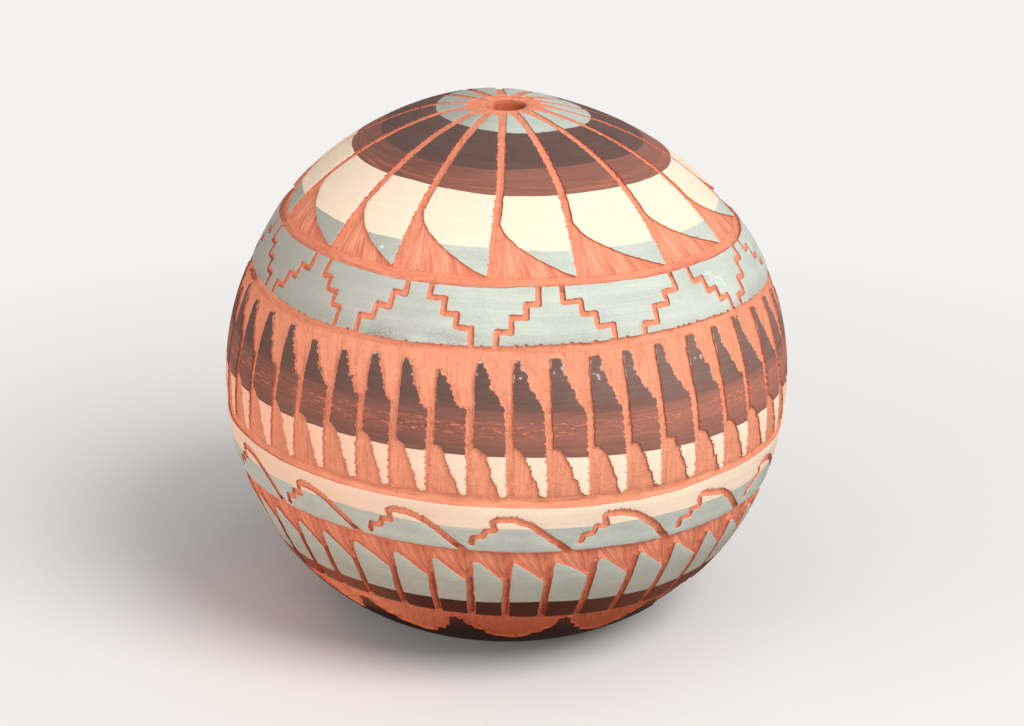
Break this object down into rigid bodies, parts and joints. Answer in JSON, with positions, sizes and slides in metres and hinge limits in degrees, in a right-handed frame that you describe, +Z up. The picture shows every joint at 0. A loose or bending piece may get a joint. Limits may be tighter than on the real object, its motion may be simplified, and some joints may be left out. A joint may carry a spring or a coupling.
{
  "type": "seed jar",
  "caption": "Small hollow clay seed jar, nearly round, with a tiny mouth, a flat foot and coloured slip rings etched through to the clay.",
  "frame": {"origin": "middle of the flat foot, on the surface the jar stands on", "axes": "+Z up along the jar's turning axis, -Y towards the side that the picture shows, +X to the right in it"},
  "size_m": [0.0998, 0.0998, 0.0937],
  "materials": {
    "terracotta_clay": "unglazed, scraped, matte",
    "turquoise_slip": "unglazed slip, matte, faint brush streaks",
    "black_slip": "unglazed slip, softly burnished",
    "brown_slip": "unglazed slip, softly burnished, streaked",
    "cream_slip": "unglazed slip, matte"
  },
  "bodies": {
    "root": {"clay_body": "terracotta_clay", "crown_turquoise_slip": "turquoise_slip", "shoulder_black_slip": "black_slip", "shoulder_brown_slip": "brown_slip", "shoulder_cream_slip": "cream_slip", "shoulder_turquoise_slip": "turquoise_slip", "step_turquoise_slip": "turquoise_slip", "belly_black_slip": "black_slip", "belly_brown_slip": "brown_slip", "belly_cream_slip": "cream_slip", "hook_cream_slip": "cream_slip", "hook_turquoise_slip": "turquoise_slip", "wedge_turquoise_slip": "turquoise_slip", "wedge_black_slip": "black_slip", "base_black_slip": "black_slip"}
  },
  "joints": []
}
